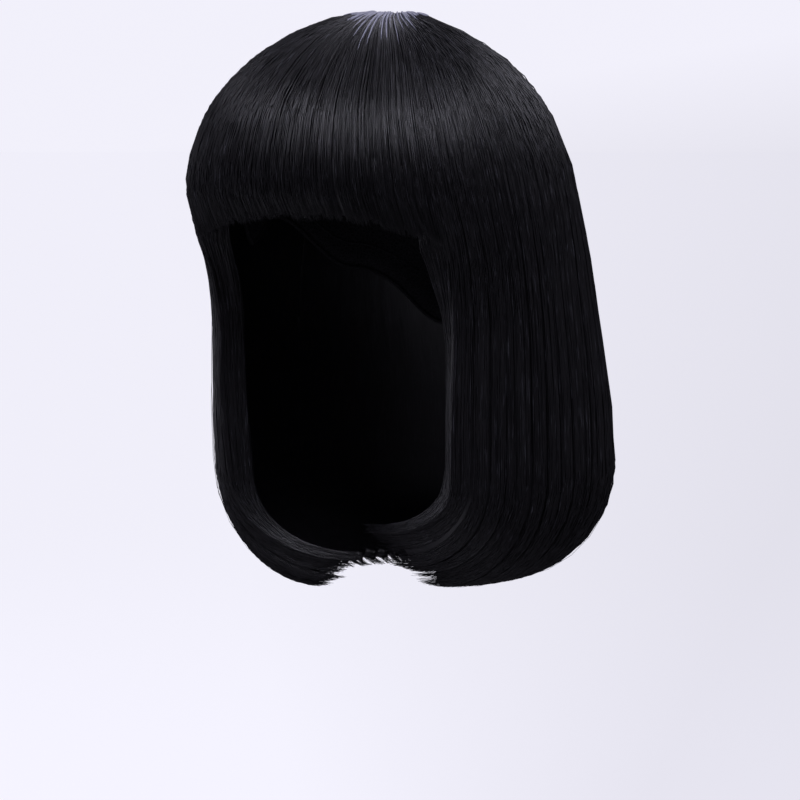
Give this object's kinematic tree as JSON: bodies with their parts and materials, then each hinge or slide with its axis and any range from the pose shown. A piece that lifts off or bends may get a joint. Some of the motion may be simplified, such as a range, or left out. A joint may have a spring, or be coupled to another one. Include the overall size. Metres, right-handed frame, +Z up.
{
  "type": "short straight costume wig with a blunt fringe",
  "caption": "Short straight black costume wig with a blunt fringe, face-framing locks and a hem that curls under, on a thin stretch cap.",
  "frame": {"origin": "the top of the head, on the inside of the cap, straight below the crown's whorl", "axes": "+Z up, -Y towards the face, +X towards the wearer's left"},
  "size_m": [0.2282, 0.2745, 0.3171],
  "materials": {
    "hair_fibre": "near-black synthetic fibre with a soft broad sheen",
    "cap_net": "matt black stretch net with sewn rows",
    "scalp_patch": "matt pale grey"
  },
  "bodies": {
    "root": {"cap": "cap_net", "crown_patch": "scalp_patch", "fringe": "hair_fibre", "face_lock_left": "hair_fibre", "face_lock_left_curl": "hair_fibre", "face_lock_right": "hair_fibre", "face_lock_right_curl": "hair_fibre", "side_hair_left": "hair_fibre", "side_hair_right": "hair_fibre", "back_hair": "hair_fibre"}
  },
  "joints": []
}
